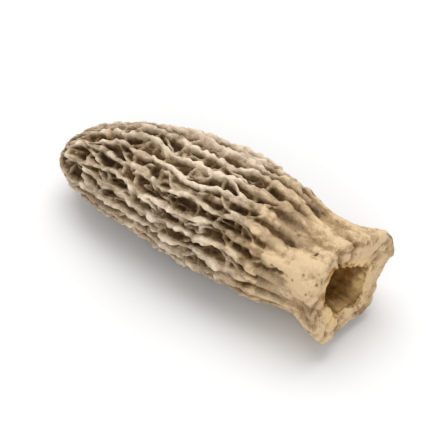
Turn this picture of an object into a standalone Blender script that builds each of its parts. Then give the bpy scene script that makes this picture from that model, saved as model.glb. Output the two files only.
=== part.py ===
"""Dried black morel, lying on its side: a hollow, ridged cap and its short cut stem.

Metres, +Z up. The long axis runs along X, with the cap's tip towards -X and the stem's
cut end towards +X. The origin is on the supporting surface, under the mushroom's middle.
"""

import math
import random

import bmesh
import bpy
import numpy as np

MM = 0.001
TAU = 2.0 * math.pi

# The whole mushroom
LENGTH = 50.7 * MM
MIDDLE_AT = 24.93 * MM  # half the length that is left under the slanting cut
CAP_LENGTH = 38.5 * MM
BELLY_AT = 27.0 * MM  # from the tip
BELLY_RADIUS = 9.45 * MM
BASE_RADIUS = 8.75 * MM
MARGIN_ROLL = 0.55 * MM  # how far the cap's edge rolls in to the stem
MARGIN_LENGTH = 1.8 * MM
TIP_SQUARENESS = (1.8, 2.3)  # powers of the blunt tip's outline
FLATTENING = 0.94  # height of a cross section against its width
LUMP_SIZE = 0.26 * MM
LUMPS_PRESSED = 0.8  # share of the lumps that is pressed flat where the cap lies

# Its axis, which droops and leans sideways at the tip
BELLY_HEIGHT = 8.38 * MM
TIP_DROOP = 2.5 * MM
STEM_DROOP = 0.25 * MM
TIP_LEAN = 2.0 * MM
STEM_LEAN = 0.5 * MM
SIDE_SHIFT = 0.05 * MM

# The net on the cap
RIDGES = 22
PITS_LONG = 9
RIDGE_WIDTH = 0.7 * MM
RIDGE_SHARE_MOST = 0.3  # of the room for one ridge, near the tip
RIB_FOOT = 0.55 * MM
PIT_DEPTH = 1.55 * MM
DEEP_FROM = 11.0 * MM  # where the pits reach their full depth, from the tip
TIP_DEPTH = 0.7 * MM
MARGIN_DEPTH = 0.4 * MM
MARGIN_FADE = (4.5 * MM, 0.5 * MM)  # where the pits grow shallow, from the cap's edge
MARGIN_BAND = 1.1 * MM
TIP_BOSS = 1.3 * MM
JOINED_DEPTH = 0.25  # depth share of a furrow where it opens between joined ridges
FLOOR_DIP = 1.12  # how much deeper the middle of a pit's floor is
RIB_HEIGHT = (0.5, 0.9)  # share of the depth
RIB_SLANT = 0.45
CREST_SAG = (0.02, 0.2)
BOSS_FILL = 0.9
MARGIN_FILL = (0.3, 0.6)  # share of the depth that is filled along the cap's edge
RIDGE_WANDER = 0.24 * MM
RIDGE_WOBBLE = 0.2 * MM
RIDGE_TWIST = math.radians(9.0)
JOIN_LENGTH = 6.5 * MM
FOOT_SHARES = (0.2, 0.5, 0.8)

# The hollow inside the cap
HOLLOW_FROM = 4.6 * MM
HOLLOW_RADIUS = 6.6 * MM
HOLLOW_BASE_RADIUS = 6.45 * MM
HOLLOW_ROWS = 11

# The stem
JOINT_GAP = 0.3 * MM
SPIGOT_LENGTH = 2.0 * MM
SPIGOT_RADIUS = 6.05 * MM
STEM_TOP_RADIUS = 8.0 * MM
SHOULDER_ROUND = 0.2 * MM
WAIST_RADIUS = 7.4 * MM
WAIST_AT = 43.2 * MM
RIM_RADIUS = 7.95 * MM
MOUTH_RADIUS = 3.7 * MM
MOUTH_SINK = 1.6 * MM  # how far the mouth lies behind the cut end
MOUTH_SHIFT = 0.5 * MM
MOUTH_SIDE = math.radians(-50.0)  # to which side the mouth lies off the middle
BORE_RADIUS = 5.0 * MM
LIP_WIDTH = 1.7 * MM
RIM_RAGGED = 0.8 * MM
CUT_SLANT = 2.0 * MM  # how much shorter one side of the stem is cut
CUT_SADDLE = 0.9 * MM  # how far that side and the opposite one lie behind the other two
CUT_SIDE = math.radians(130.0)
STEM_FOLD = 0.2 * MM
COLLAR_PLEAT = 0.2 * MM
SIDES_A_PLEAT = 4
STEM_ROWS = 8


def make_waves(draw, size, around, along, count):
    """Seeded waves, a whole number of them round the axis: (size, round, along, phase)."""
    return [
        (
            size * draw.uniform(0.5, 1.0),
            draw.randint(*around),
            draw.choice((-1.0, 1.0)) * TAU / draw.uniform(*along),
            draw.uniform(0.0, TAU),
        )
        for _ in range(count)
    ]


def ripple(waves, angle, place):
    return sum(
        size * np.sin(around * angle + along * place + phase)
        for size, around, along, phase in waves
    )


def smooth_step(low, high, value):
    share = np.clip((value - low) / (high - low), 0.0, 1.0)
    return share * share * (3.0 - 2.0 * share)


WAVE_DRAW = random.Random(41)
LUMPS = make_waves(WAVE_DRAW, LUMP_SIZE, (2, 5), (14 * MM, 34 * MM), 5)
BROAD_WANDER = make_waves(WAVE_DRAW, RIDGE_WANDER, (1, 4), (16 * MM, 34 * MM), 4)
FINE_WANDER = make_waves(WAVE_DRAW, RIDGE_WOBBLE, (6, 11), (6 * MM, 13 * MM), 6)
RIM_NOTCHES = make_waves(WAVE_DRAW, 1.0, (2, 9), (30 * MM, 60 * MM), 5)
STEM_FOLDS = make_waves(WAVE_DRAW, STEM_FOLD, (2, 6), (20 * MM, 50 * MM), 5)


def cap_outline():
    """(run, station, radius) of the ridge tops, where run is the length over the surface."""
    inner, outer = TIP_SQUARENESS
    turn = np.linspace(0.0, 0.5 * math.pi, 300)
    back = np.linspace(BELLY_AT, CAP_LENGTH, 200)[1:]
    share = (back - BELLY_AT) / (CAP_LENGTH - BELLY_AT)
    roll = MARGIN_ROLL * smooth_step(CAP_LENGTH - MARGIN_LENGTH, CAP_LENGTH, back)
    station = np.concatenate([BELLY_AT * (1.0 - np.cos(turn)), back])
    radius = np.concatenate(
        [
            BELLY_RADIUS * (1.0 - np.cos(turn) ** inner) ** (1.0 / outer),
            BELLY_RADIUS - (BELLY_RADIUS - BASE_RADIUS) * share**2 - roll,
        ]
    )
    steps = np.hypot(np.diff(station), np.diff(radius))
    return np.concatenate([[0.0], np.cumsum(steps)]), station, radius


RUN, STATION, RADIUS = cap_outline()
CAP_RUN = float(RUN[-1])
STATION_SLOPE = np.gradient(STATION, RUN)
RADIUS_SLOPE = np.gradient(RADIUS, RUN)


def lie_down(station, angle, radius):
    """World point of a point on the body: lumps, the bent axis, and the surface it lies on."""
    underside = 0.5 - 0.5 * math.sin(angle)
    lump = ripple(LUMPS, angle, station) * (1.0 - LUMPS_PRESSED * underside**2)
    radius += lump * min(1.0, radius / BELLY_RADIUS)
    to_tip = max(0.0, (BELLY_AT - station) / BELLY_AT) ** 2
    to_stem = max(0.0, (station - BELLY_AT) / (LENGTH - BELLY_AT)) ** 2
    side = SIDE_SHIFT - TIP_LEAN * to_tip - STEM_LEAN * to_stem
    height = BELLY_HEIGHT - TIP_DROOP * to_tip - STEM_DROOP * to_stem
    return (
        station - MIDDLE_AT,
        side + radius * math.cos(angle),
        max(0.0, height + FLATTENING * radius * math.sin(angle)),
    )


def on_cap(run, angle, height):
    """World point at a height over the ridge tops, measured square to the cap's surface."""
    station = np.interp(run, RUN, STATION)
    radius = np.interp(run, RUN, RADIUS)
    out_x = -np.interp(run, RUN, RADIUS_SLOPE)
    out_r = np.interp(run, RUN, STATION_SLOPE)
    return lie_down(station + out_x * height, angle, radius + out_r * height)


def furrow_plan():
    """For each furrow, its first pit and its cross ribs' runs, heights and slants."""
    draw = random.Random(7)
    plan = []
    for furrow in range(RIDGES):
        first_pit = draw.choice((1, 1, 2)) if furrow % 2 == 0 else 0
        lengths = []
        for pit in range(PITS_LONG):
            swell = 0.7 + 0.5 * math.sin(math.pi * (pit + 0.5) / PITS_LONG)
            lengths.append(swell * draw.uniform(0.72, 1.28))
        lengths[0] *= 0.75 if furrow % 4 in (1, 2) else 1.25
        span = CAP_RUN - TIP_BOSS - MARGIN_BAND
        ribs = TIP_BOSS + span * np.cumsum([0.0] + lengths) / sum(lengths)
        heights = [draw.uniform(*RIB_HEIGHT) for _ in ribs]
        leaning = [draw.uniform(-RIB_SLANT, RIB_SLANT) for _ in ribs[2:-1]]
        slants = [0.0, 0.0] + leaning + [0.0]
        plan.append((first_pit, ribs, heights, slants))
    return plan


FURROWS = furrow_plan()


def ridge_spread(ridge, run):
    """How far a ridge stands off its partner's line: 0 where the two are one, 1 when apart."""
    furrow = ridge - ridge % 2
    first_pit, ribs = FURROWS[furrow][:2]
    share = np.clip((run - ribs[first_pit]) / JOIN_LENGTH, 0.0, 1.0)
    return float(share * (2.0 - share))


def ridge_angle(ridge, run):
    """Angle of a ridge's middle line. Even ridges join the next one on their way to the tip."""
    ridge %= RIDGES
    pair_middle = TAU * (ridge - ridge % 2 + 1.0) / RIDGES
    offset = (ridge % 2 - 0.5) * TAU / RIDGES * ridge_spread(ridge, run)
    home = pair_middle + offset
    radius = float(np.interp(run, RUN, RADIUS))
    wobble = ripple(FINE_WANDER, home, run) * radius / BELLY_RADIUS
    wander = ripple(BROAD_WANDER, home, run) + wobble
    return home + RIDGE_TWIST * run / CAP_RUN + wander / max(3.0 * MM, radius)


def half_ridge(ridge, side, run):
    """Half of a ridge's width as an angle. The side facing its partner closes as they join."""
    ridge %= RIDGES
    reach = float(np.interp(run, RUN, RADIUS))
    most = RIDGE_SHARE_MOST * TAU / RIDGES
    faces_partner = side == (1 if ridge % 2 == 0 else -1)
    closing = ridge_spread(ridge, run) if faces_partner else 1.0
    return min(most, 0.5 * RIDGE_WIDTH / reach) * closing


def pit_depth(run):
    rise = TIP_DEPTH + (PIT_DEPTH - TIP_DEPTH) * smooth_step(TIP_BOSS, DEEP_FROM, run)
    ends = smooth_step(0.0, TIP_BOSS, run)
    fall = smooth_step(CAP_RUN - MARGIN_FADE[0], CAP_RUN - MARGIN_FADE[1], run)
    return (rise + (MARGIN_DEPTH - rise) * fall) * ends


def furrow_rows(furrow):
    """(run, share of the depth that is filled, crest sag, slant) for each row of a furrow."""
    _, ribs, heights, slants = FURROWS[furrow]
    draw = random.Random(100 + furrow)
    rows = [(0.5 * TIP_BOSS, BOSS_FILL, 0.0, 0.0)]
    for pit in range(PITS_LONG):
        start, end = ribs[pit], ribs[pit + 1]
        lean, next_lean = slants[pit], slants[pit + 1]
        sag = draw.uniform(*CREST_SAG)
        rows.append((start, heights[pit], 0.0, lean))
        rows.append((start + RIB_FOOT, 0.0, 0.6 * sag, lean))
        rows.append((0.5 * (start + end), 1.0 - FLOOR_DIP, sag, 0.5 * (lean + next_lean)))
        rows.append((end - RIB_FOOT, 0.0, 0.6 * sag, next_lean))
    rows.append((ribs[-1], heights[-1], 0.0, slants[-1]))
    for run, filled in zip((CAP_RUN - 0.5 * MARGIN_BAND, CAP_RUN), MARGIN_FILL):
        rows.append((run, filled, 0.5 * filled, 0.0))
    return rows


def furrow_section(furrow, run, filled, sag, slant):
    """The five points across a furrow: ridge edge, foot, floor, foot, ridge edge."""
    width = (ridge_angle(furrow + 1, run) - ridge_angle(furrow, run)) % TAU
    width *= float(np.interp(run, RUN, RADIUS))
    left_run = run - 0.5 * slant * width
    right_run = run + 0.5 * slant * width
    left = ridge_angle(furrow, left_run) + half_ridge(furrow, 1, left_run)
    right = ridge_angle(furrow + 1, right_run) - half_ridge(furrow + 1, -1, right_run)
    if furrow == RIDGES - 1:
        right += TAU
    depth = pit_depth(run)
    if furrow % 2 == 0:
        depth *= JOINED_DEPTH + (1.0 - JOINED_DEPTH) * ridge_spread(furrow, run)
    floor = -depth * (1.0 - filled)
    crest = -depth * sag
    section = [on_cap(left_run, left, crest)]
    for share in FOOT_SHARES:
        dip = FLOOR_DIP if share == FOOT_SHARES[1] else 1.0
        place = left_run + share * (right_run - left_run)
        angle = left + share * (right - left)
        section.append(on_cap(place, angle, min(crest, floor * dip)))
    section.append(on_cap(right_run, right, crest))
    return section


def add_face(bm, corners):
    """A face over its different corners, or none where they have run together."""
    kept = []
    for corner in corners:
        if corner not in kept:
            kept.append(corner)
    if len(kept) > 2:
        bm.faces.new(kept)


def outer_net(bm):
    """The ridged skin. It gives the vertices of each furrow's rows."""
    pole = bm.verts.new(on_cap(0.0, 0.0, 0.0))
    grid = []
    for furrow in range(RIDGES):
        first_pit = FURROWS[furrow][0]
        first_row = 1 + 4 * first_pit
        rows = [[pole] * 5]
        for place, row in enumerate(furrow_rows(furrow)):
            if furrow % 2 == 0 and place <= first_row:
                joined = bm.verts.new(on_cap(row[0], ridge_angle(furrow, row[0]), 0.0))
                rows.append([joined] * 5)
            else:
                points = furrow_section(furrow, *row)
                rows.append([bm.verts.new(point) for point in points])
        grid.append(rows)
    for furrow, rows in enumerate(grid):
        before = grid[furrow - 1]
        for row in range(len(rows) - 1):
            here, there = rows[row], rows[row + 1]
            strip = (before[row][4], here[0], there[0], before[row + 1][4])
            add_face(bm, strip)
            for column in range(4):
                add_face(bm, (here[column], here[column + 1], there[column + 1], there[column]))
    return grid


def hollow_radius(share):
    """Radius of the cap's hollow, at a share of the way from its closed end to the base."""
    belly = (BELLY_AT - HOLLOW_FROM) / (CAP_LENGTH - HOLLOW_FROM)
    if share < belly:
        return HOLLOW_RADIUS * math.sqrt(1.0 - (1.0 - share / belly) ** 2)
    after = (share - belly) / (1.0 - belly)
    return HOLLOW_RADIUS + (HOLLOW_BASE_RADIUS - HOLLOW_RADIUS) * after**2


def inner_skin(bm):
    """The smooth wall of the hollow. It gives the ring at the cap's base."""
    ring = None
    end = bm.verts.new(lie_down(HOLLOW_FROM, 0.0, 0.0))
    for row in range(1, HOLLOW_ROWS + 1):
        share = (row / HOLLOW_ROWS) ** 1.6
        station = HOLLOW_FROM + share * (CAP_LENGTH - HOLLOW_FROM)
        radius = hollow_radius(share)
        last, ring = ring, []
        for furrow in range(RIDGES):
            angle = TAU * (furrow + 1.0) / RIDGES + RIDGE_TWIST * station / CAP_LENGTH
            ring.append(bm.verts.new(lie_down(station, angle, radius)))
        for side in range(RIDGES):
            after = (side + 1) % RIDGES
            if last is None:
                bm.faces.new((end, ring[side], ring[after]))
            else:
                bm.faces.new((last[side], ring[side], ring[after], last[after]))
    return ring


def base_face(bm, grid, ring):
    """Closes the cap's wall between the ridged skin and the hollow."""
    for furrow, rows in enumerate(grid):
        edge = rows[-1]
        after = (furrow + 1) % RIDGES
        next_edge = grid[after][-1]
        for column in range(4):
            bm.faces.new((edge[column], edge[column + 1], ring[furrow]))
        bm.faces.new((edge[4], next_edge[0], ring[furrow]))
        bm.faces.new((next_edge[0], ring[after], ring[furrow]))


def stem_outline():
    """(station, radius) round the stem's wall: down its outside, over the lip, up the bore."""
    top = CAP_LENGTH + JOINT_GAP
    spigot_end = CAP_LENGTH - SPIGOT_LENGTH
    mouth_at = LENGTH - MOUTH_SINK
    lip = 0.5 * LIP_WIDTH
    shoulder = STEM_TOP_RADIUS - SHOULDER_ROUND
    outline = [(spigot_end, SPIGOT_RADIUS), (top, SPIGOT_RADIUS), (top, shoulder)]
    for station in np.linspace(top + SHOULDER_ROUND, LENGTH - lip, STEM_ROWS):
        outline.append((station, stem_radius(station)))
    for turn in (30.0, 65.0, 100.0, 140.0):
        turn = math.radians(turn)
        radius = RIM_RADIUS - lip + lip * math.cos(turn)
        outline.append((LENGTH - lip + lip * math.sin(turn), radius))
    last_station, last_radius = outline[-1]
    for share in (0.35, 0.7, 1.0):
        station = last_station + (mouth_at - last_station) * share**1.5
        outline.append((station, last_radius + (MOUTH_RADIUS - last_radius) * share))
    for share in (0.1, 0.4, 0.7, 1.0):
        station = mouth_at + (spigot_end - mouth_at) * share
        outline.append((station, MOUTH_RADIUS + (BORE_RADIUS - MOUTH_RADIUS) * share))
    return outline


def stem_radius(station):
    """Outer radius of the stem: it narrows to a waist and flares to the cut end."""
    if station < WAIST_AT:
        share = (WAIST_AT - station) / (WAIST_AT - CAP_LENGTH)
        return WAIST_RADIUS + (STEM_TOP_RADIUS - WAIST_RADIUS) * share**2
    share = (station - WAIST_AT) / (LENGTH - WAIST_AT)
    return WAIST_RADIUS + (RIM_RADIUS - WAIST_RADIUS) * share**1.6


def on_stem(station, angle, radius, pleat):
    """World point on the stem: its collar's pleats, its folds, its slanting ragged cut."""
    reach = smooth_step(CAP_LENGTH + 1.0 * MM, LENGTH, station)
    free = smooth_step(CAP_LENGTH, CAP_LENGTH + 1.5 * MM, station)
    outside = smooth_step(MOUTH_RADIUS, MOUTH_RADIUS + 2.0 * LIP_WIDTH, radius)
    fold = ripple(STEM_FOLDS, angle, station) * (0.2 + 1.2 * reach) * free
    fold *= radius / RIM_RADIUS
    fold += COLLAR_PLEAT * pleat * (1.0 - smooth_step(CAP_LENGTH, WAIST_AT, station)) * outside
    fold += MOUTH_SHIFT * math.cos(angle - MOUTH_SIDE) * reach * (1.0 - outside)
    notch = 0.5 + 0.5 * math.tanh(0.8 * ripple(RIM_NOTCHES, angle, LENGTH))
    slant = 0.5 + 0.5 * math.cos(angle - CUT_SIDE)
    saddle = 0.5 + 0.5 * math.cos(2.0 * (angle - CUT_SIDE))
    cut_back = CUT_SLANT * slant + CUT_SADDLE * saddle
    back = RIM_RAGGED * notch * reach**3 + cut_back * reach**1.5
    return lie_down(station - back, angle, radius + fold)


def new_piece(name, bm, colour, roughness):
    """Turns a finished mesh into the named piece, with its material and smooth shading."""
    bmesh.ops.triangulate(bm, faces=bm.faces[:], quad_method="SHORT_EDGE")
    bmesh.ops.recalc_face_normals(bm, faces=bm.faces[:])
    mesh = bpy.data.meshes.new(name)
    bm.to_mesh(mesh)
    bm.free()
    mesh.shade_smooth()
    mesh.set_sharp_from_angle(angle=math.radians(50.0))
    material = bpy.data.materials.new(name + "_flesh")
    material.use_nodes = True
    shader = material.node_tree.nodes["Principled BSDF"]
    shader.inputs["Base Color"].default_value = (*colour, 1.0)
    shader.inputs["Roughness"].default_value = roughness
    shader.inputs["Metallic"].default_value = 0.0
    mesh.materials.append(material)
    piece = bpy.data.objects.new(name, mesh)
    bpy.context.scene.collection.objects.link(piece)


def make_cap():
    bm = bmesh.new()
    grid = outer_net(bm)
    ring = inner_skin(bm)
    base_face(bm, grid, ring)
    new_piece("cap", bm, (0.17, 0.135, 0.095), 0.85)


def make_stem():
    bm = bmesh.new()
    sides = []
    for ridge in range(RIDGES):
        here = ridge_angle(ridge, CAP_RUN)
        room = (ridge_angle(ridge + 1, CAP_RUN) - here) % TAU
        for side in range(SIDES_A_PLEAT):
            share = side / SIDES_A_PLEAT
            sides.append((here + room * share, math.cos(TAU * share)))
    rings = []
    for station, radius in stem_outline():
        ring = [bm.verts.new(on_stem(station, angle, radius, pleat)) for angle, pleat in sides]
        rings.append(ring)
    for place, ring in enumerate(rings):
        after = rings[(place + 1) % len(rings)]
        for side in range(len(sides)):
            turn = (side + 1) % len(sides)
            bm.faces.new((ring[side], ring[turn], after[turn], after[side]))
    new_piece("stem", bm, (0.6, 0.46, 0.28), 0.8)


for existing in list(bpy.data.objects):
    bpy.data.objects.remove(existing)

make_cap()
make_stem()
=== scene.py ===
import math
import random

import bpy
import numpy as np
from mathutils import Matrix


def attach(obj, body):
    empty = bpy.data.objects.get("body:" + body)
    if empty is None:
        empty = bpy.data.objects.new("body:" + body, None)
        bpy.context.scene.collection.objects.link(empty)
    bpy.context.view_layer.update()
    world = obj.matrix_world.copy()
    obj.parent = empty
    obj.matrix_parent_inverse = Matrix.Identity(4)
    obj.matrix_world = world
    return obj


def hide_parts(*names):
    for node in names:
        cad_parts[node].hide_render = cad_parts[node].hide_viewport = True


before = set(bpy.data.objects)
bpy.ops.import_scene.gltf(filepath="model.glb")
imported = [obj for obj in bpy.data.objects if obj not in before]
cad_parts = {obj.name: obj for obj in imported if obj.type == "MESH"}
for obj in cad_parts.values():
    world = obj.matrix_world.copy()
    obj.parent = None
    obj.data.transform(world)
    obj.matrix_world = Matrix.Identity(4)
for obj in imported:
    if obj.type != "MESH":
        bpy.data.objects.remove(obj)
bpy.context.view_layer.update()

# ----------------------------------------------------------------------------------------
# The cap: the morel's hollow head of thin flesh, dried hard, grown in one with the stem. Its
# skin stands up in wavy ridges from base to tip, tied together by lower cross ribs, so that
# the furrows between them become rows of deep pits. The crests are crumpled and worn pale.
# ----------------------------------------------------------------------------------------
MM = 0.001
TAU = 2.0 * math.pi

# The body, turned round a bent axis and pressed where it lies. Stations run from the tip.
LENGTH = 50.7 * MM
MIDDLE_AT = 24.93 * MM
CAP_LENGTH = 38.5 * MM
BELLY_AT = 27.0 * MM
BELLY_RADIUS = 9.45 * MM
BASE_RADIUS = 8.75 * MM
MARGIN_ROLL = 0.55 * MM
MARGIN_LENGTH = 1.8 * MM
TIP_SQUARENESS = (1.8, 2.3)
FLATTENING = 0.94
LUMP_SIZE = 0.26 * MM
LUMPS_PRESSED = 0.8
BELLY_HEIGHT = 8.38 * MM
TIP_DROOP = 2.5 * MM
STEM_DROOP = 0.25 * MM
TIP_LEAN = 2.0 * MM
STEM_LEAN = 0.5 * MM
SIDE_SHIFT = 0.05 * MM

# The ridges and the pits between them.
RIDGES = 22
PITS_LONG = 9
PIT_LENGTHS = (0.72, 1.28)
PIT_DEPTH = 1.55 * MM
FULL_PITS_FROM = 11.0 * MM
TIP_DEPTH = 0.7 * MM
MARGIN_DEPTH = 0.6 * MM
MARGIN_FADE = (2.8 * MM, 0.3 * MM)
MARGIN_BAND = 1.1 * MM
TIP_BOSS = 1.3 * MM
RIB_HEIGHTS = (0.5, 0.9)
RIB_SLANTS = (-0.45, 0.45)
RIDGE_WANDER = 0.24 * MM
RIDGE_WOBBLE = 0.2 * MM
RIDGE_TWIST = math.radians(9.0)
JOIN_LENGTH = 6.5 * MM
LEAST_RADIUS = 3.0 * MM

# The hollow inside, which opens into the stem.
HOLLOW_FROM = 4.6 * MM
HOLLOW_RADIUS = 6.6 * MM
HOLLOW_BASE_RADIUS = 6.45 * MM

ROWS_LONG = 240
COLUMNS_A_FURROW = 18
HOLLOW_ROWS = 14


def make_waves(draw, size, around, along, count):
    """Seeded waves, a whole number of them round the axis: (size, round, along, phase)."""
    return [
        (
            size * draw.uniform(0.5, 1.0),
            draw.randint(*around),
            draw.choice((-1.0, 1.0)) * TAU / draw.uniform(*along),
            draw.uniform(0.0, TAU),
        )
        for _ in range(count)
    ]


def ripple(waves, angle, place):
    """The height of all the waves together, at an angle and a place along."""
    return sum(
        size * np.sin(around * angle + along * place + phase)
        for size, around, along, phase in waves
    )


def smooth_step(low, high, value):
    """0 up to low, 1 from high on, and a soft rise between them."""
    share = np.clip((value - low) / (high - low), 0.0, 1.0)
    return share * share * (3.0 - 2.0 * share)


wave_draw = random.Random(41)
lumps = make_waves(wave_draw, LUMP_SIZE, (2, 5), (14 * MM, 34 * MM), 5)
broad_wander = make_waves(wave_draw, RIDGE_WANDER, (1, 4), (16 * MM, 34 * MM), 4)
fine_wander = make_waves(wave_draw, RIDGE_WOBBLE, (6, 11), (6 * MM, 13 * MM), 6)


def cap_outline():
    """(run, station, radius) of the ridge tops, where run is the length over the surface."""
    inner, outer = TIP_SQUARENESS
    turn = np.linspace(0.0, 0.5 * math.pi, 300)
    back = np.linspace(BELLY_AT, CAP_LENGTH, 200)[1:]
    share = (back - BELLY_AT) / (CAP_LENGTH - BELLY_AT)
    roll = MARGIN_ROLL * smooth_step(CAP_LENGTH - MARGIN_LENGTH, CAP_LENGTH, back)
    station = np.concatenate([BELLY_AT * (1.0 - np.cos(turn)), back])
    radius = np.concatenate(
        [
            BELLY_RADIUS * (1.0 - np.cos(turn) ** inner) ** (1.0 / outer),
            BELLY_RADIUS - (BELLY_RADIUS - BASE_RADIUS) * share**2 - roll,
        ]
    )
    steps = np.hypot(np.diff(station), np.diff(radius))
    return np.concatenate([[0.0], np.cumsum(steps)]), station, radius


outline_run, outline_station, outline_radius = cap_outline()
cap_run = float(outline_run[-1])
station_slope = np.gradient(outline_station, outline_run)
radius_slope = np.gradient(outline_radius, outline_run)


def lie_down(station, angle, radius):
    """Places of points on the body: lumps, the bent axis, and the surface it lies on."""
    station, angle, radius = np.broadcast_arrays(station, angle, radius)
    underside = 0.5 - 0.5 * np.sin(angle)
    lump = ripple(lumps, angle, station) * (1.0 - LUMPS_PRESSED * underside**2)
    radius = radius + lump * np.minimum(1.0, radius / BELLY_RADIUS)
    to_tip = np.maximum(0.0, (BELLY_AT - station) / BELLY_AT) ** 2
    to_stem = np.maximum(0.0, (station - BELLY_AT) / (LENGTH - BELLY_AT)) ** 2
    side = SIDE_SHIFT - TIP_LEAN * to_tip - STEM_LEAN * to_stem
    height = BELLY_HEIGHT - TIP_DROOP * to_tip - STEM_DROOP * to_stem
    x = station - MIDDLE_AT
    y = side + radius * np.cos(angle)
    z = np.maximum(0.0, height + FLATTENING * radius * np.sin(angle))
    return np.stack([x, y, z], axis=-1)


def on_cap(run, angle, height):
    """Places at a height over the ridge tops, measured square to the cap's surface."""
    station = np.interp(run, outline_run, outline_station)
    radius = np.interp(run, outline_run, outline_radius)
    out_x = -np.interp(run, outline_run, radius_slope)
    out_r = np.interp(run, outline_run, station_slope)
    return lie_down(station + out_x * height, angle, radius + out_r * height)


def furrow_plan():
    """For each furrow, its first pit and its cross ribs' runs, heights and slants."""
    draw = random.Random(7)
    plan = []
    for furrow in range(RIDGES):
        first_pit = draw.choice((1, 1, 2)) if furrow % 2 == 0 else 0
        lengths = []
        for pit in range(PITS_LONG):
            swell = 0.7 + 0.5 * math.sin(math.pi * (pit + 0.5) / PITS_LONG)
            lengths.append(swell * draw.uniform(*PIT_LENGTHS))
        lengths[0] *= 0.75 if furrow % 4 in (1, 2) else 1.25
        span = cap_run - TIP_BOSS - MARGIN_BAND
        ribs = TIP_BOSS + span * np.cumsum([0.0] + lengths) / sum(lengths)
        heights = [draw.uniform(*RIB_HEIGHTS) for _ in ribs]
        slants = [0.0, 0.0] + [draw.uniform(*RIB_SLANTS) for _ in ribs[2:-1]] + [0.0]
        plan.append((first_pit, ribs, heights, slants))
    return plan


furrows = furrow_plan()


def ridge_spread(ridge, run):
    """How far a ridge stands off its partner's line: 0 where the two are one, 1 when apart."""
    first_pit, ribs = furrows[ridge - ridge % 2][:2]
    share = np.clip((run - ribs[first_pit]) / JOIN_LENGTH, 0.0, 1.0)
    return share * (2.0 - share)


def ridge_angle(ridge, run):
    """Angle of a ridge's middle line. Even ridges join the next one on their way to the tip."""
    pair_middle = TAU * (ridge - ridge % 2 + 1.0) / RIDGES
    offset = (ridge % 2 - 0.5) * TAU / RIDGES * ridge_spread(ridge, run)
    home = pair_middle + offset
    radius = np.interp(run, outline_run, outline_radius)
    wobble = ripple(fine_wander, home, run) * radius / BELLY_RADIUS
    wander = ripple(broad_wander, home, run) + wobble
    return home + RIDGE_TWIST * run / cap_run + wander / np.maximum(LEAST_RADIUS, radius)


def pit_depth(run):
    """How deep the pits are: shallow by the tip, none on its boss, tapering at the edge."""
    rise = TIP_DEPTH + (PIT_DEPTH - TIP_DEPTH) * smooth_step(TIP_BOSS, FULL_PITS_FROM, run)
    ends = smooth_step(0.0, TIP_BOSS, run)
    fall = smooth_step(cap_run - MARGIN_FADE[0], cap_run - MARGIN_FADE[1], run)
    return (rise + (MARGIN_DEPTH - rise) * fall) * ends


NOISE_CELLS = 24
NOISE_ORIGIN = 500.0


def grain(places, size, seed, stretch=(1.0, 1.0, 1.0)):
    """Smooth seeded noise from -1 to 1 in space, with lumps about size across."""
    table = np.random.default_rng(seed).uniform(-1.0, 1.0, (NOISE_CELLS,) * 3)
    cell = places / (size * np.array(stretch)) + NOISE_ORIGIN
    base = np.floor(cell).astype(int)
    part = cell - base
    part = part * part * (3.0 - 2.0 * part)
    total = 0.0
    for corner in np.ndindex(2, 2, 2):
        weight = np.prod(np.where(corner, part, 1.0 - part), axis=-1)
        spot = (base + corner) % NOISE_CELLS
        total = total + weight * table[spot[..., 0], spot[..., 1], spot[..., 2]]
    return total


RING_RADIUS = 8.0 * MM


def ring_places(angle):
    """Places on a ring round the axis, for noise that changes only round it."""
    return RING_RADIUS * np.stack([0.0 * angle, np.cos(angle), np.sin(angle)], axis=-1)


def edge_stray(angle):
    """How far the cap's ragged edge strays along the stem, at an angle."""
    ring = ring_places(angle)
    return 0.9 * MM * grain(ring, 1.9 * MM, 38) + 0.35 * MM * grain(ring, 0.8 * MM, 39)


# Each furrow is a strip of columns between the middle lines of its two ridges. They stand
# closer together on the ridges, where the surface turns fastest. The arrays below run over
# furrow, row along the cap and column across the furrow.
FIRST_ROW_AT = 0.3 * MM
runs = np.linspace(FIRST_ROW_AT, cap_run, ROWS_LONG)
across = np.arange(COLUMNS_A_FURROW) / COLUMNS_A_FURROW
across = across - 0.15 / TAU * np.sin(TAU * across)
left = np.stack([ridge_angle(k, runs) for k in range(RIDGES)])
right = np.concatenate([left[1:], left[:1] + TAU])
spread = np.ones((RIDGES, ROWS_LONG))
spread[0::2] = np.stack([ridge_spread(k, runs) for k in range(0, RIDGES, 2)])
body_radius = np.interp(runs, outline_run, outline_radius)
width = (right - left) * body_radius
angles = left[:, :, None] + (right - left)[:, :, None] * across
run_grid = np.broadcast_to(runs[None, :, None], angles.shape)
skin = on_cap(run_grid, angles, 0.0)

# The ridges: steep walls with rounded tops, whose thickness wavers along them. Near the cap's
# edge they widen, so that the furrows between them taper out.
RIDGE_HALF = 0.2 * MM
RIDGE_FOOT = 0.72 * MM
EDGE_ZONE = (8.0 * MM, 0.5 * MM)
EDGE_WIDENING = 1.2
near_edge = smooth_step(cap_run - EDGE_ZONE[0], cap_run - EDGE_ZONE[1], run_grid)
thick = 1.0 + 0.45 * grain(skin, 2.1 * MM, 1) + 0.3 * grain(skin, 0.7 * MM, 14)
thick = thick * (1.0 + EDGE_WIDENING * near_edge)
gap = width[:, :, None]
near = np.minimum(across, 1.0 - across) * gap
foot = np.minimum(RIDGE_FOOT * thick, (0.42 + 0.1 * near_edge) * gap + 0.01 * MM)
half = np.minimum(RIDGE_HALF * thick, 0.42 * foot)
ridge_high = 1.0 - smooth_step(half, foot, near)

# A weaker ridge snakes from side to side in each wide furrow and splits it into slits. Here
# and there it is broken.
WEAK_HALF = 0.13 * MM
WEAK_FOOT = 0.44 * MM
WEAK_BEND = (9.0, 15.0)
WEAK_SWING = (0.28, 0.44)
WIDE_FURROW = (1.6 * MM, 2.3 * MM)


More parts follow.
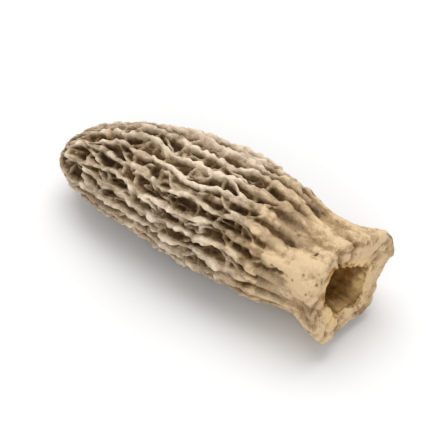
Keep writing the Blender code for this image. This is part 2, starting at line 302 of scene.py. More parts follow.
def weak_ridge(k, draw):
    """Height of the weak ridge over furrow k, from 0 on the floor to about 1."""
    length = draw.uniform(*WEAK_BEND) * MM
    start = draw.uniform(0.0, TAU)
    swing = draw.uniform(*WEAK_SWING)
    line = 0.5 + swing * np.sin(TAU * runs / length + start)[:, None]
    off = np.abs(across - line - 0.08 * grain(skin[k], 2.0 * MM, 60)) * width[k][:, None]
    top = 0.78 + 0.3 * grain(skin[k], 2.6 * MM, 61)
    return top * (1.0 - smooth_step(WEAK_HALF, WEAK_FOOT, off))


weak_draw = random.Random(51)
weak_high = np.stack([weak_ridge(k, weak_draw) for k in range(RIDGES)])
weak_high *= smooth_step(*WIDE_FURROW, gap)
weak_high *= smooth_step(-0.75, -0.35, grain(skin, 3.4 * MM, 62))

# The cross ribs: lower and thinner, slanted and bowed, with two weaker ones in each pit that
# fade out before they reach the other side.
RIB_HALF = 0.17 * MM
RIB_FOOT = 0.55 * MM
WEAK_RIBS_AT = (0.35, 0.65)
WEAK_RIB_HEIGHTS = (0.2, 0.75)
WEAK_RIB_REACH = (0.2, 0.8)
WEAK_RIB_SLANTS = (-0.7, 0.7)


def rib_marks(k, draw):
    """(run, height, reach, slant) of the cross ribs in furrow k, with a reach of 1 right over."""
    _, ribs, heights, slants = furrows[k]
    marks = [
        (run, 0.15 + 0.85 * height, 1.0, slant)
        for run, height, slant in zip(ribs[:-1], heights, slants)
    ]
    marks.append((ribs[-1] - draw.uniform(0.0, 1.2) * MM, 0.5, 1.0, 0.0))
    for start, end in zip(ribs[:-1], ribs[1:]):
        for share in WEAK_RIBS_AT:
            run = start + (end - start) * (share + draw.uniform(-0.1, 0.1))
            reach = draw.uniform(*WEAK_RIB_REACH)
            height = draw.uniform(*WEAK_RIB_HEIGHTS)
            marks.append((run, height, reach, draw.uniform(*WEAK_RIB_SLANTS)))
    return marks


def cross_rib(k, draw, run, height, reach, slant):
    """Height of one cross rib over furrow k, from 0 on the floor to about 1."""
    bow = draw.uniform(-0.4, 0.4) * MM
    from_left = draw.random() < 0.5
    size = draw.uniform(0.75, 1.25)
    line = run + slant * (across - 0.5) * width[k][:, None] + bow * np.sin(math.pi * across)
    off = np.abs(runs[:, None] - line + 0.15 * MM * grain(skin[k], 1.1 * MM, 63))
    rib = height * (1.0 - smooth_step(RIB_HALF * size, RIB_FOOT * size, off))
    rib = rib * (1.0 - 0.3 * np.sin(math.pi * across))
    if reach < 1.0:
        distance = across if from_left else 1.0 - across
        rib = rib * (1.0 - smooth_step(reach - 0.3, reach + 0.2, distance))
    return rib


rib_draw = random.Random(23)
rib_high = np.zeros(angles.shape)
for k in range(RIDGES):
    for mark in rib_marks(k, rib_draw):
        rib_high[k] = np.maximum(rib_high[k], cross_rib(k, rib_draw, *mark))

# Thin flaky crests, longer than wide, roughen every floor and wall.
flake = np.abs(grain(skin, 0.95 * MM, 70, (3.2, 1.0, 1.0)))
flake_top = np.maximum(0.0, 0.42 + 0.5 * grain(skin, 2.2 * MM, 71))
flake_high = flake_top * (1.0 - smooth_step(0.02, 0.32, flake))
relief = (ridge_high**5 + rib_high**5 + weak_high**5 + flake_high**5) ** 0.2
relief = np.minimum(relief, 1.0)

# Round the tip the ridges give way to a fine crumpled net.
TIP_NET_ZONE = (1.5 * MM, 6.5 * MM)
TIP_NET_DEPTH = 0.7 * MM
tip_net = np.abs(grain(skin, 1.1 * MM, 74))
tip_net = 0.95 - 0.95 * smooth_step(0.03, 0.3, tip_net)
at_tip = 1.0 - smooth_step(*TIP_NET_ZONE, run_grid + 1.6 * MM * grain(skin, 1.6 * MM, 75))
relief = relief + (tip_net - relief) * 0.85 * at_tip

# Drying makes the crests sag and the floors wrinkle. Narrow furrows are shallow, and near the
# edge some run out sooner than others. The colour follows how high the skin is raised, from
# 0 on the floor of a full pit to 1 on a crest, and its low end is painted shade in the pits.
crest_wear = 0.26 * grain(skin, 1.9 * MM, 4) + 0.24 * grain(skin, 0.7 * MM, 5) - 0.14
floor_wrinkle = 0.12 * grain(skin, 0.9 * MM, 6) + 0.08 * grain(skin, 0.45 * MM, 7)
height_share = relief * (1.0 + crest_wear) + floor_wrinkle * (1.0 - relief)
fades = (0.3 + 1.6 * grain(skin, 2.4 * MM, 73)) * MM
fades = np.maximum(0.0, fades) * smooth_step(cap_run - 12.0 * MM, cap_run - 6.0 * MM, run_grid)
depth = pit_depth(np.minimum(run_grid + fades, cap_run)) * (0.25 + 0.75 * spread[:, :, None])
depth = depth * smooth_step(-0.3 * MM, 1.5 * MM, gap)
depth = np.maximum(depth, TIP_NET_DEPTH * at_tip)
crumple = 0.07 * grain(skin, 0.42 * MM, 15) * MM * smooth_step(0.0, 5.0 * MM, runs)[:, None]
over_skin = np.minimum(-depth * (1.0 - height_share) - 0.07 * MM + crumple, 0.0)
full_depth = 0.8 * PIT_DEPTH * (1.0 - 0.5 * np.maximum(at_tip, near_edge))
raised_share = 1.0 - (1.0 - height_share) * np.minimum(1.0, depth / full_depth)

# The crests also lean over, sideways and lengthwise, and the edge strays along the stem.
sideways = 0.3 * grain(skin, 3.1 * MM, 8) + 0.32 * grain(skin, 1.1 * MM, 9)
sideways = (sideways + 0.14 * grain(skin, 0.5 * MM, 12)) * MM
sideways = sideways * relief * smooth_step(0.0, 6.0 * MM, runs)[None, :, None]
onward = (0.2 * grain(skin, 1.4 * MM, 10) + 0.08 * grain(skin, 0.6 * MM, 13)) * MM * relief
onward = onward * smooth_step(0.0, 3.0 * MM, cap_run - runs)[None, :, None]
lean_angles = angles + sideways / np.maximum(LEAST_RADIUS, body_radius)[None, :, None]
outer = on_cap(np.clip(run_grid + onward, 0.0, cap_run), lean_angles, over_skin)
outer[..., 0] += edge_stray(angles) * smooth_step(cap_run - 5.0 * MM, cap_run, run_grid)


def hollow_radius(share):
    """Radius of the cap's hollow, at a share of the way from its closed end to the base."""
    belly = (BELLY_AT - HOLLOW_FROM) / (CAP_LENGTH - HOLLOW_FROM)
    before = np.sqrt(np.maximum(0.0, 1.0 - (1.0 - share / belly) ** 2))
    after = np.maximum(0.0, (share - belly) / (1.0 - belly)) ** 2
    drop = (HOLLOW_BASE_RADIUS - HOLLOW_RADIUS) * after
    return np.where(share < belly, HOLLOW_RADIUS * before, HOLLOW_RADIUS + drop)


def skin_faces(numbers):
    """Faces over a grid of vertex numbers (rows, columns round), leaving out shut furrows."""
    turn = np.roll(numbers, -1, axis=1)
    quads = np.stack([numbers[:-1], turn[:-1], turn[1:], numbers[1:]], axis=-1)
    faces = [list(dict.fromkeys(quad)) for quad in quads.reshape(-1, 4).tolist()]
    return [face for face in faces if len(face) > 2]


# The skin from the tip to the edge. Where two ridges still run as one, the furrow between
# them is shut, and its columns share one point.
TIP_RAISED = 0.6
INNER_RAISED = 0.3
round_count = RIDGES * COLUMNS_A_FURROW
cap_numbers = np.zeros((ROWS_LONG + HOLLOW_ROWS, round_count), dtype=int)
cap_points = [outer[1::2, 0].reshape(-1, 3).mean(axis=0)]
cap_raised = [TIP_RAISED]
cap_toward_stem = [0.0]
for k in range(RIDGES):
    columns = slice(k * COLUMNS_A_FURROW, (k + 1) * COLUMNS_A_FURROW)
    shut = np.count_nonzero(spread[k] <= 0.0)
    for row in range(ROWS_LONG):
        used = 1 if row < shut else COLUMNS_A_FURROW
        cap_numbers[row, columns] = len(cap_points) + np.arange(COLUMNS_A_FURROW) % used
        cap_points.extend(outer[k, row, :used])
        cap_raised.extend(raised_share[k, row, :used])
        cap_toward_stem.extend([runs[row] / cap_run] * used)

# The hollow's wall from the edge back to its closed end, and the fans at both poles.
base_angles = angles[:, -1, :].reshape(-1)
for row in range(HOLLOW_ROWS):
    share = (1.0 - row / HOLLOW_ROWS) ** 1.5
    station = HOLLOW_FROM + share * (CAP_LENGTH - HOLLOW_FROM)
    ring = lie_down(station, base_angles, hollow_radius(share))
    ring = ring + 0.12 * MM * grain(ring, 1.6 * MM, 11)[:, None] * min(1.0, row / 2.0)
    cap_numbers[ROWS_LONG + row] = len(cap_points) + np.arange(round_count)
    cap_points.extend(ring)
inner_pole = len(cap_points)
cap_points.append(lie_down(HOLLOW_FROM, 0.0, 0.0))
cap_raised.extend([INNER_RAISED] * (HOLLOW_ROWS * round_count + 1))
cap_toward_stem.extend([1.0] * (HOLLOW_ROWS * round_count + 1))
cap_faces = skin_faces(cap_numbers)
for column in range(round_count):
    turn = (column + 1) % round_count
    tip_edge = (cap_numbers[0, column], cap_numbers[0, turn])
    if tip_edge[0] != tip_edge[1]:
        cap_faces.append([0, int(tip_edge[1]), int(tip_edge[0])])
    cap_faces.append([inner_pole, int(cap_numbers[-1, column]), int(cap_numbers[-1, turn])])


def new_mesh(name, places, faces, values):
    """A smooth-shaded mesh with one number a vertex for each named value."""
    mesh = bpy.data.meshes.new(name)
    mesh.from_pydata([tuple(map(float, place)) for place in places], [], faces)
    mesh.validate()
    mesh.shade_smooth()
    for value_name, numbers in values.items():
        made = mesh.attributes.new(value_name, "FLOAT", "POINT")
        made.data.foreach_set("value", np.asarray(numbers, dtype=np.float32))
    piece = bpy.data.objects.new(name, mesh)
    bpy.context.scene.collection.objects.link(piece)
    return piece


def new_material(name):
    """(material, its shader, a function that adds a node, a function that links sockets)."""
    material = bpy.data.materials.new(name)
    material.use_nodes = True
    tree = material.node_tree
    shader = tree.nodes["Principled BSDF"]

    def add(kind, settings=None, **inputs):
        """A node with settings. Its inputs go by name, or by number as _0, _1 and so on."""
        node = tree.nodes.new("ShaderNode" + kind)
        for key, value in (settings or {}).items():
            setattr(node, key, value)
        for key, value in inputs.items():
            socket = node.inputs[int(key[1:])] if key[1:].isdigit() else node.inputs[key]
            if isinstance(value, bpy.types.NodeSocket):
                tree.links.new(value, socket)
            else:
                socket.default_value = value
        return node

    return material, shader, add, tree.links.new


def stored(add, name):
    """A number that the mesh holds for each vertex."""
    return add("Attribute", {"attribute_name": name}).outputs["Fac"]


def squeezed(add, where, share):
    """Places squeezed along the morel, so that noise read there is longer than wide."""
    node = add("VectorMath", {"operation": "MULTIPLY"}, _0=where, _1=(share, 1.0, 1.0))
    return node.outputs[0]


def noise_at(add, where, size, detail=3.0, roughness=0.55):
    """Noise whose lumps are about size across."""
    node = add("TexNoise", Vector=where, Scale=1.0 / size, Detail=detail, Roughness=roughness)
    return node.outputs["Fac"]


def math_node(add, operation, first, second):
    """Two values put together by an operation."""
    return add("Math", {"operation": operation}, _0=first, _1=second).outputs[0]


def scaled(add, value, factor, offset):
    """A value times a factor, plus an offset."""
    return add("Math", {"operation": "MULTIPLY_ADD"}, _0=value, _1=factor, _2=offset).outputs[0]


def around_middle(add, value, strength):
    """A noise value turned into a shift from minus to plus half the strength."""
    return scaled(add, value, strength, -0.5 * strength)


def total(add, *terms):
    """The sum of several values."""
    result = terms[0]
    for term in terms[1:]:
        result = math_node(add, "ADD", result, term)
    return result


def ramp(add, factor, stops):
    """A colour ramp's output over (place, red, green, blue) stops."""
    node = add("ValToRGB", _0=factor)
    band = node.color_ramp
    while len(band.elements) < len(stops):
        band.elements.new(0.5)
    for element, (place, *colour) in zip(band.elements, stops):
        element.position = place
        element.color = (*colour, 1.0)
    return node.outputs[0]


def fade(add, factor, *stops):
    """A number that runs straight from one (place, value) stop to the next."""
    return ramp(add, factor, [(place, value, value, value) for place, value in stops])


def mix_colour(add, factor, first, second):
    """The first colour where the factor is 0, the second where it is 1."""
    node = add("Mix", {"data_type": "RGBA"}, _0=factor, _6=first, _7=second)
    return node.outputs[2]


def bumps(add, *layers):
    """The normal of a surface roughened by layers of (strength, depth, height)."""
    below = {}
    for strength, depth, height in layers:
        bump = add("Bump", None, Strength=strength, Distance=depth, Height=height, **below)
        below = {"Normal": bump.outputs[0]}
    return bump.outputs[0]


# The skin's colour follows its height: pale worn crests, and brown pit floors darkened towards
# black as painted shade. The upper side of the middle gets a painted highlight, and noise of five
# sizes breaks all of it up.
DRY_GREY = (
    (0.02, 0.038, 0.016, 0.004),
    (0.28, 0.120, 0.071, 0.029),
    (0.48, 0.308, 0.230, 0.149),
    (0.66, 0.498, 0.395, 0.290),
    (0.90, 0.710, 0.588, 0.452),
)
DRY_TAN = (
    (0.02, 0.056, 0.024, 0.005),
    (0.28, 0.165, 0.094, 0.031),
    (0.48, 0.335, 0.230, 0.130),
    (0.66, 0.510, 0.380, 0.246),
    (0.90, 0.700, 0.566, 0.396),
)
cap_skin, shader, add, link = new_material("dried_cap_skin")
where = add("TexCoord").outputs["Object"]
along = squeezed(add, where, 0.3)
raised = stored(add, "raised")
toward_stem = stored(add, "toward_stem")
blotch = noise_at(add, where, 5.0 * MM)
patch = noise_at(add, where, 1.1 * MM)
streak = noise_at(add, along, 0.9 * MM)
speck = noise_at(add, along, 0.2 * MM, 4.0, 0.7)
# Painted highlight: the crests are lighter the higher they lie above the table, most of all in
# the middle.
above_table = add("SeparateXYZ", _0=where).outputs["Z"]
top_light = add("MapRange", _0=above_table, _1=5.0 * MM, _2=14.0 * MM).outputs[0]
middle = fade(add, toward_stem, (0.42, 0.0), (0.62, 1.0), (0.78, 1.0), (0.88, 0.0))
crest_lift_and_top_light = scaled(add, math_node(add, "MULTIPLY", top_light, middle), 0.26, 0.68)
wear_and_painted_light = total(
    add,
    math_node(add, "MULTIPLY", raised, crest_lift_and_top_light),
    around_middle(add, patch, 0.6),
    around_middle(add, streak, 0.5),
    around_middle(add, speck, 0.5),
    around_middle(add, noise_at(add, along, 2.6 * MM), 0.5),
    around_middle(add, blotch, 0.5),
    0.06,
)
grey = ramp(add, wear_and_painted_light, DRY_GREY)
tan = ramp(add, wear_and_painted_light, DRY_TAN)

# Patches of it are warmer, and so is all of it near the stem. At its ragged edge the skin
# takes on the cream of the stem's flesh, darkened in its hollows by painted shade.
CREAM_FLESH = (
    (0.25, 0.100, 0.050, 0.016),
    (0.44, 0.255, 0.158, 0.070),
    (0.60, 0.370, 0.248, 0.128),
    (0.80, 0.620, 0.455, 0.270),
)
edge_tone = total(
    add,
    scaled(add, raised, 1.2, -0.35),
    around_middle(add, noise_at(add, where, 3.0 * MM), 0.7),
    around_middle(add, noise_at(add, where, 0.9 * MM), 0.5),
)
cream_edge = ramp(add, edge_tone, CREAM_FLESH)
ragged = total(
    add, toward_stem, around_middle(add, streak, 0.24), around_middle(add, raised, 0.2)
)
stemward = fade(add, ragged, (0.80, 0.0), (1.0, 1.0))
warm_patches = math_node(add, "MULTIPLY", fade(add, blotch, (0.42, 0.0), (0.72, 1.0)), 0.6)
warm = math_node(add, "MAXIMUM", warm_patches, stemward)
ragged_edge = fade(add, math_node(add, "SUBTRACT", ragged, 0.1), (0.90, 0.0), (0.99, 1.0))
last_rim = fade(add, toward_stem, (0.97, 0.0), (1.0, 0.6))
creamy = math_node(add, "MAXIMUM", ragged_edge, last_rim)
colour = mix_colour(add, warm, grey, tan)
colour = mix_colour(add, creamy, colour, cream_edge)
link(colour, shader.inputs["Base Color"])
link(scaled(add, patch, 0.25, 0.62), shader.inputs["Roughness"])
shader.inputs["Specular IOR Level"].default_value = 0.18
link(bumps(add, (0.55, 0.12 * MM, speck), (0.6, 0.3 * MM, patch)), shader.inputs["Normal"])

cap = new_mesh(
    "morel_cap", cap_points, cap_faces, {"raised": cap_raised, "toward_stem": cap_toward_stem}
)
cap.data.materials.append(cap_skin)
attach(cap, "root")
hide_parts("cap")

# ----------------------------------------------------------------------------------------
# The stem: a short hollow tube of pale, mealy flesh, grown in one with the cap and cut off
# below it. It dried into lengthwise folds, and its cut end flared and curled into a ragged lip.
# ----------------------------------------------------------------------------------------
SPIGOT_LENGTH = 2.0 * MM
SPIGOT_RADIUS = 6.05 * MM
COLLAR_TUCK = 0.5 * MM
COLLAR_PLEAT = 0.36 * MM
STEM_TOP_RADIUS = 8.0 * MM
WAIST_RADIUS = 7.4 * MM
WAIST_AT = 43.2 * MM
STEM_FOLD = 0.2 * MM
RIM_RADIUS = 7.95 * MM
RIM_RAGGED = 0.8 * MM
LIP_WIDTH = 1.7 * MM
CUT_SLANT = 2.0 * MM
CUT_SADDLE = 0.9 * MM
CUT_SIDE = math.radians(130.0)
MOUTH_RADIUS = 3.7 * MM
MOUTH_SINK = 0.9 * MM
MOUTH_SHIFT = 1.2 * MM
MOUTH_SIDE = math.radians(-95.0)
MOUTH_INSIDE = 0.35
BORE_RADIUS = 5.0 * MM

STEM_COLUMNS = 320
STEM_ROWS = 90
LIP_ROWS = 14
FACE_ROWS = 30
BORE_ROWS = 40

rim_notches = make_waves(wave_draw, 1.0, (2, 9), (30 * MM, 60 * MM), 5)
stem_folds = make_waves(wave_draw, STEM_FOLD, (2, 6), (20 * MM, 50 * MM), 5)


def stem_radius(station):
    """Outer radius of the stem: it narrows to a waist and flares to the cut end."""
    up = np.maximum(0.0, (WAIST_AT - station) / (WAIST_AT - CAP_LENGTH))
    down = np.maximum(0.0, (station - WAIST_AT) / (LENGTH - WAIST_AT))
    rise = (STEM_TOP_RADIUS - WAIST_RADIUS) * up**2
    return WAIST_RADIUS + rise + (RIM_RADIUS - WAIST_RADIUS) * down**1.6


def stem_outline():
    """(station, radius, how far inside, share of the cut face) of the stem's wall.

    It starts on the spigot in the cap, steps out under the cap's edge, runs down the outside,
    round the lip and over the cut face to the mouth, and back up the bore.
    """
    lip = 0.5 * LIP_WIDTH
    spigot_end = CAP_LENGTH - SPIGOT_LENGTH
    mouth_at = LENGTH - MOUTH_SINK
    tuck = CAP_LENGTH - COLLAR_TUCK
    marks = [(spigot_end, SPIGOT_RADIUS, 1.0, 0.0), (tuck - 0.3 * MM, SPIGOT_RADIUS, 1.0, 0.0)]
    marks.append((tuck, STEM_TOP_RADIUS - 0.7 * MM, 0.0, 0.0))
    for station in np.linspace(tuck + 0.4 * MM, LENGTH - lip, STEM_ROWS):
        marks.append((station, float(stem_radius(station)), 0.0, 0.0))
    for turn in np.radians(np.linspace(8.0, 140.0, LIP_ROWS)):
        radius = RIM_RADIUS - lip + lip * math.cos(turn)
        marks.append((LENGTH - lip + lip * math.sin(turn), radius, 0.0, 0.0))
    last_station, last_radius = marks[-1][:2]
    for share in np.linspace(0.0, 1.0, FACE_ROWS)[1:]:
        station = last_station + (mouth_at - last_station) * share**1.5
        radius = last_radius + (MOUTH_RADIUS - last_radius) * share
        marks.append((station, radius, MOUTH_INSIDE * share**1.3, min(1.0, 2.5 * share)))
    for share in np.linspace(0.0, 1.0, BORE_ROWS)[1:]:
        station = mouth_at + (spigot_end - mouth_at) * share
        radius = MOUTH_RADIUS + (BORE_RADIUS - MOUTH_RADIUS) * share
        marks.append((station, radius, min(1.0, MOUTH_INSIDE + 2.5 * share), 1.0 - share))
    return marks


def on_stem(station, angle, radius, pleat):
    """Places on the stem: its collar's pleats, its folds, its slanting ragged cut."""
    reach = smooth_step(CAP_LENGTH + 1.0 * MM, LENGTH, station)
    loose = smooth_step(CAP_LENGTH, CAP_LENGTH + 1.5 * MM, station)
    off_mouth = smooth_step(MOUTH_RADIUS, MOUTH_RADIUS + 2.0 * LIP_WIDTH, radius)
    fold = ripple(stem_folds, angle, station) * (0.2 + 1.2 * reach) * loose
    fold = fold * radius / RIM_RADIUS
    near_cap = 1.0 - smooth_step(CAP_LENGTH, WAIST_AT, station)
    pleated = COLLAR_PLEAT * (pleat - 0.1) * near_cap
    shift = MOUTH_SHIFT * np.cos(angle - MOUTH_SIDE) * reach
    fold = fold + pleated * off_mouth + shift * (1.0 - off_mouth)
    notch = 0.5 + 0.5 * np.tanh(0.8 * ripple(rim_notches, angle, LENGTH))
    slant = 0.5 + 0.5 * np.cos(angle - CUT_SIDE)
    saddle = 0.5 + 0.5 * np.cos(2.0 * (angle - CUT_SIDE))
    cut_back = CUT_SLANT * slant + CUT_SADDLE * saddle
    back = RIM_RAGGED * notch * reach**3 + cut_back * reach**1.5
    return lie_down(station - back, angle, radius + fold)


# The arrays below run over the outline's marks and round the stem.
station_marks, radius_marks, inside_marks, face_marks = np.array(stem_outline()).T
stem_angles = TAU * np.arange(STEM_COLUMNS) / STEM_COLUMNS
station_grid = station_marks[:, None] + 0.0 * stem_angles
radius_grid = radius_marks[:, None] + 0.0 * stem_angles
angle_grid = stem_angles + 0.0 * station_grid
stem_ring = ring_places(angle_grid)
steps = np.hypot(np.diff(station_marks), np.diff(radius_marks))
stem_runs = np.concatenate([[0.0], np.cumsum(steps)])
outside = inside_marks[:, None] <= 0.0
face = face_marks[:, None]

# Pleats carry the cap's ridges on down the collar, and its top follows the cap's edge. The
# colours follow the pleats and how near the cap is, each with a ragged end.
last_ridges = left[:, -1]
turned = last_ridges[0] + np.mod(angle_grid - last_ridges[0], TAU)
ridge_marks = np.append(last_ridges, last_ridges[0] + TAU)
phase = np.interp(turned, ridge_marks, np.arange(RIDGES + 1))
collar_pleats = np.cos(TAU * phase) * outside
pleats_end = WAIST_AT + 2.0 * MM * grain(stem_ring, 2.3 * MM, 37)
pleats_left = 1.0 - smooth_step(CAP_LENGTH, pleats_end, station_grid)
ragged_end = grain(stem_ring, 2.6 * MM, 44) + grain(stem_ring, 1.2 * MM, 45)
past_cap = station_grid - CAP_LENGTH + 1.5 * MM * ragged_end
cap_near = 1.0 - smooth_step(-2.0 * MM, 7.0 * MM, past_cap)
stray = edge_stray(angle_grid) * outside
station_grid = station_grid + stray * (
    1.0 - smooth_step(CAP_LENGTH, CAP_LENGTH + 3.5 * MM, station_grid)
)

# The cut edge is nibbled and the mouth is not quite round. This gives the stem before its fine
# relief, and the way that each place faces.
nibble = np.abs(grain(on_stem(station_grid, angle_grid, radius_grid, 0.0), 0.9 * MM, 35))
nibble = 0.3 * MM * nibble * smooth_step(LENGTH - 1.6 * MM, LENGTH, station_grid)
mouth_near = np.exp(-((radius_marks[:, None] - MOUTH_RADIUS) / (1.2 * MM)) ** 2)
mouth_near = mouth_near * smooth_step(CAP_LENGTH + 4.0 * MM, LENGTH - 4.0 * MM, station_grid)
uneven = (0.55 * grain(stem_ring, 3.2 * MM, 36) - 0.25) * MM * mouth_near
stem_flat = on_stem(station_grid - nibble, angle_grid, radius_grid + uneven, collar_pleats)
down = np.roll(stem_flat, -1, axis=0) - np.roll(stem_flat, 1, axis=0)
around = np.roll(stem_flat, -1, axis=1) - np.roll(stem_flat, 1, axis=1)
facing = np.cross(around, down)
facing = facing / np.maximum(1e-12, np.linalg.norm(facing, axis=-1, keepdims=True))

# Folds deepen towards the cut and run on over the lip into the mouth. Small crumples, a mealy
# grain, and the knobs and torn layers of the cut face lie over them.
fold_places = stem_ring.copy()
fold_places[..., 0] = stem_runs[:, None]
below_cap = smooth_step(CAP_LENGTH - 0.5 * MM, CAP_LENGTH + 1.5 * MM, station_grid)
to_rim = smooth_step(WAIST_AT - 2.5 * MM, LENGTH - 1.0 * MM, station_grid)
drape = np.abs(grain(fold_places, 3.0 * MM, 31, (5.0, 1.0, 1.0)))
groove = np.maximum(0.0, 1.0 - drape / 0.32) * to_rim
pleats = grain(fold_places, 1.3 * MM, 32, (6.0, 1.0, 1.0))
wrinkles = grain(fold_places, 0.6 * MM, 43, (5.0, 1.0, 1.0))
meal = grain(stem_flat, 0.45 * MM, 33)
crumple = grain(stem_flat, 2.4 * MM, 34)
over_face = np.clip((RIM_RADIUS - radius_grid) / (RIM_RADIUS - MOUTH_RADIUS), 0.0, 1.0)
layers = 1.4 * over_face + 0.5 * grain(stem_ring, 3.0 * MM, 42)
layers = face * np.minimum(0.0, np.sin(TAU * layers))
knobs = 0.34 * grain(stem_flat, 1.6 * MM, 40) + 0.16 * grain(stem_flat, 0.7 * MM, 41)
swell = 0.2 * pleats + 0.09 * wrinkles + 0.06 * meal + 0.24 * crumple - 0.42 * groove
swell = swell + face * knobs + 0.32 * layers


def turned_from(angle):
    """How far each column stands from an angle, the short way round."""
    return np.mod(angle_grid - angle + math.pi, TAU) - math.pi


def sunken_spot(draw):
    """How far the flesh has sunk round one small spot, from 0 to 1."""
    station = draw.uniform(CAP_LENGTH + 1.5 * MM, LENGTH - 2.0 * MM)
    round_off = turned_from(draw.uniform(0.0, TAU))
    size = draw.uniform(0.4, 1.0) * MM
    depth = draw.uniform(0.25, 1.0)
    long_off = (station_grid - station) / draw.uniform(1.0, 1.8)
    away = np.hypot(long_off, round_off * radius_grid) * (1.0 + 0.4 * meal)
    return depth * (1.0 - smooth_step(0.1 * size, size, away))


def collar_slit(draw):
    """How far the flesh has sunk along one short slit, where a furrow of the cap runs out."""
    station = CAP_LENGTH + draw.uniform(-0.4, 3.2) * MM
    angle = last_ridges[draw.randrange(RIDGES)] + 0.5 * TAU / RIDGES
    round_off = turned_from(angle + draw.uniform(-0.04, 0.04))
    bend = draw.uniform(-0.25, 0.25) * (station_grid - station)
    across_it = (round_off * radius_grid + bend) / (draw.uniform(0.25, 0.45) * MM)
    along_it = (station_grid - station) / (draw.uniform(1.0, 2.8) * MM)
    slit = 1.0 - smooth_step(0.0, 1.0, np.hypot(along_it, across_it) * (1.0 + 0.5 * meal))
    return draw.uniform(0.4, 1.0) * slit


# Spots all over the stem and slits in its collar. At the cap's edge they are shallower, so
# that no gap opens there.
SPOTS = 12
SLITS = 44
spot_draw = random.Random(77)
dents = [sunken_spot(spot_draw) for _ in range(SPOTS)]
dents += [collar_slit(spot_draw) for _ in range(SLITS)]
sunken = np.max(dents, axis=0) * outside
dent_depth = 0.2 + 0.4 * smooth_step(CAP_LENGTH, CAP_LENGTH + 1.6 * MM, station_grid)
swell = (swell * below_cap - dent_depth * sunken) * MM
stem_places = stem_flat + facing * swell[..., None]

# The colour follows how high the flesh is raised, from about 0 in its hollows to 1: painted shade
# in the folds, slits and spots.
stem_raised = 0.58 + 0.25 * pleats + 0.2 * wrinkles + 0.17 * crumple
stem_raised = stem_raised + 0.35 * collar_pleats * pleats_left
stem_raised = stem_raised + 0.5 * face * knobs + 0.3 * layers
stem_raised = stem_raised - 0.38 * groove - 0.7 * sunken
stem_numbers = np.arange(stem_places.shape[0] * STEM_COLUMNS).reshape(-1, STEM_COLUMNS)
stem = new_mesh(
    "morel_stem",
    stem_places.reshape(-1, 3),
    skin_faces(np.concatenate([stem_numbers, stem_numbers[:1]])),
    {
        "inside": np.repeat(inside_marks, STEM_COLUMNS),
        "raised": stem_raised.reshape(-1),
        "toward_cap": (outside * cap_near).reshape(-1),
    },
)

# Cream flesh, darkened in its hollows by painted shade, and paler away from the cap and on the
# cut lip. It turns
# gold on the cut face and brown down the bore.
GOLD_FLESH = ((0.30, 0.300, 0.160, 0.042), (0.85, 0.720, 0.500, 0.220))
BROWN_BORE = ((0.30, 0.070, 0.026, 0.004), (0.85, 0.340, 0.160, 0.032))
FAWN_STAIN = ((0.30, 0.092, 0.049, 0.017), (0.85, 0.410, 0.288, 0.164))
DARK_DOT = (0.17, 0.09, 0.036, 1.0)
stem_skin, shader, add, link = new_material("dried_stem_flesh")
where = add("TexCoord").outputs["Object"]
along = squeezed(add, where, 0.35)
inside = stored(add, "inside")
raised = stored(add, "raised")
toward_cap = stored(add, "toward_cap")
blotch = noise_at(add, where, 3.0 * MM)
patch = noise_at(add, where, 0.9 * MM)
speck = noise_at(add, where, 0.22 * MM, 4.0, 0.7)
lip = fade(add, inside, (0.0, 0.0), (0.03, 0.2), (0.22, 0.2), (0.42, 0.0))
tone = total(
    add,
    math_node(add, "MULTIPLY", raised, 0.55),
    math_node(add, "MULTIPLY", blotch, 0.7),
    scaled(add, toward_cap, -0.2, 0.09),
    lip,
    around_middle(add, patch, 0.6),
    around_middle(add, speck, 0.45),
)
cream = ramp(add, tone, CREAM_FLESH)
gold = ramp(add, tone, GOLD_FLESH)
brown = ramp(add, tone, BROWN_BORE)
fawn = ramp(add, tone, FAWN_STAIN)
past_lip = fade(add, inside, (0.12, 0.0), (0.42, 1.0))
past_mouth = fade(add, inside, (0.50, 0.0), (1.00, 1.0))

# Fawn stains run lengthwise, thickest in the collar's furrows, and dark dots are sprinkled
# over patches of it.
furrowed = math_node(add, "MULTIPLY", toward_cap, scaled(add, raised, -0.5, 0.54))
stain = total(
    add,
    noise_at(add, along, 1.7 * MM, 5.0, 0.65),
    furrowed,
    fade(add, toward_cap, (0.36, 0.0), (0.80, 0.19)),
)
stain = math_node(add, "SUBTRACT", stain, math_node(add, "MULTIPLY", lip, 0.6))
stained = fade(add, stain, (0.56, 0.0), (0.72, 0.95))
dots = add("TexVoronoi", Vector=where, Scale=1.0 / (1.5 * MM)).outputs["Distance"]
dots = total(add, dots, around_middle(add, blotch, -0.5))
dotted = fade(add, dots, (0.06, 0.8), (0.2, 0.0))
colour = mix_colour(add, stained, cream, fawn)
colour = mix_colour(add, dotted, colour, DARK_DOT)
colour = mix_colour(add, past_lip, colour, gold)
colour = mix_colour(add, past_mouth, colour, brown)
link(colour, shader.inputs["Base Color"])
shader.inputs["Roughness"].default_value = 0.8
shader.inputs["Specular IOR Level"].default_value = 0.3
link(bumps(add, (0.5, 0.1 * MM, speck), (0.5, 0.25 * MM, patch)), shader.inputs["Normal"])
stem.data.materials.append(stem_skin)
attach(stem, "root")
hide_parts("stem")

# ----------------------------------------------------------------------------------------
# The stage: a white tabletop that runs out of sight, a large soft light overhead, a weaker
# one from the front, and a camera that looks down at the morel as it lies.
# ----------------------------------------------------------------------------------------
FLOOR_SIZE = 5.0
FLOOR_WHITE = 0.74
ROOM_LIGHT = 0.7
VIEW_AZIMUTH = math.radians(38.0)
VIEW_ELEVATION = math.radians(45.0)
VIEW_DISTANCE = 0.30
FRAME_WIDTH = 0.059
SENSOR_WIDTH = 36.0

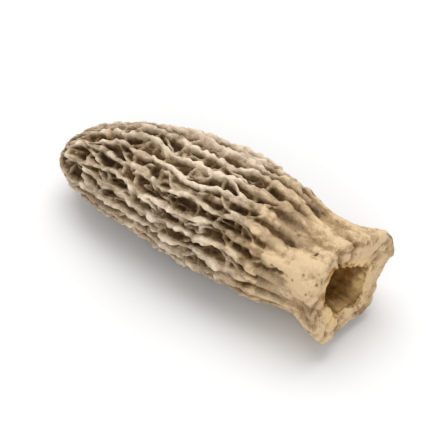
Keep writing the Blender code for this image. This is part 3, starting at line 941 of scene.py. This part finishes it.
floor_mesh = bpy.data.meshes.new("tabletop")
half_floor = 0.5 * FLOOR_SIZE
floor_mesh.from_pydata(
    [
        (-half_floor, -half_floor, 0.0),
        (half_floor, -half_floor, 0.0),
        (half_floor, half_floor, 0.0),
        (-half_floor, half_floor, 0.0),
    ],
    [],
    [(0, 1, 2, 3)],
)
tabletop = bpy.data.objects.new("tabletop", floor_mesh)
bpy.context.scene.collection.objects.link(tabletop)
white, shader = new_material("white_tabletop")[:2]
shader.inputs["Base Color"].default_value = (FLOOR_WHITE, FLOOR_WHITE, FLOOR_WHITE, 1.0)
shader.inputs["Roughness"].default_value = 0.7
shader.inputs["Specular IOR Level"].default_value = 0.2
floor_mesh.materials.append(white)

room = bpy.data.worlds.new("soft_room")
room.use_nodes = True
room.node_tree.nodes["Background"].inputs[0].default_value = (1.0, 1.0, 1.0, 1.0)
room.node_tree.nodes["Background"].inputs[1].default_value = ROOM_LIGHT
bpy.context.scene.world = room
bpy.context.scene.view_settings.view_transform = "Standard"


def soft_light(name, place, size, power):
    """A square soft light that faces the morel."""
    lamp = bpy.data.lights.new(name, "AREA")
    lamp.size = size
    lamp.energy = power
    box = bpy.data.objects.new(name, lamp)
    box.location = place
    toward = -np.array(place) / np.linalg.norm(place)
    box.rotation_euler = (
        math.acos(-toward[2]),
        0.0,
        math.atan2(toward[1], toward[0]) - 0.5 * math.pi,
    )
    bpy.context.scene.collection.objects.link(box)


soft_light("overhead", (-0.5, 0.6, 2.1), 2.0, 41.0)
soft_light("front_fill", (1.25, -1.75, 1.25), 1.5, 17.0)

lens = bpy.data.cameras.new("camera")
lens.sensor_width = SENSOR_WIDTH
lens.lens = SENSOR_WIDTH * VIEW_DISTANCE / FRAME_WIDTH
lens.clip_start = 0.01
camera = bpy.data.objects.new("camera", lens)
aim = np.array([0.0005, 0.0, 0.0068])
back = np.array(
    [
        math.sin(VIEW_AZIMUTH) * math.cos(VIEW_ELEVATION),
        -math.cos(VIEW_AZIMUTH) * math.cos(VIEW_ELEVATION),
        math.sin(VIEW_ELEVATION),
    ]
)
camera.location = tuple(aim + VIEW_DISTANCE * back)
camera.rotation_euler = (0.5 * math.pi - VIEW_ELEVATION, 0.0, VIEW_AZIMUTH)
bpy.context.scene.collection.objects.link(camera)
bpy.context.scene.camera = camera
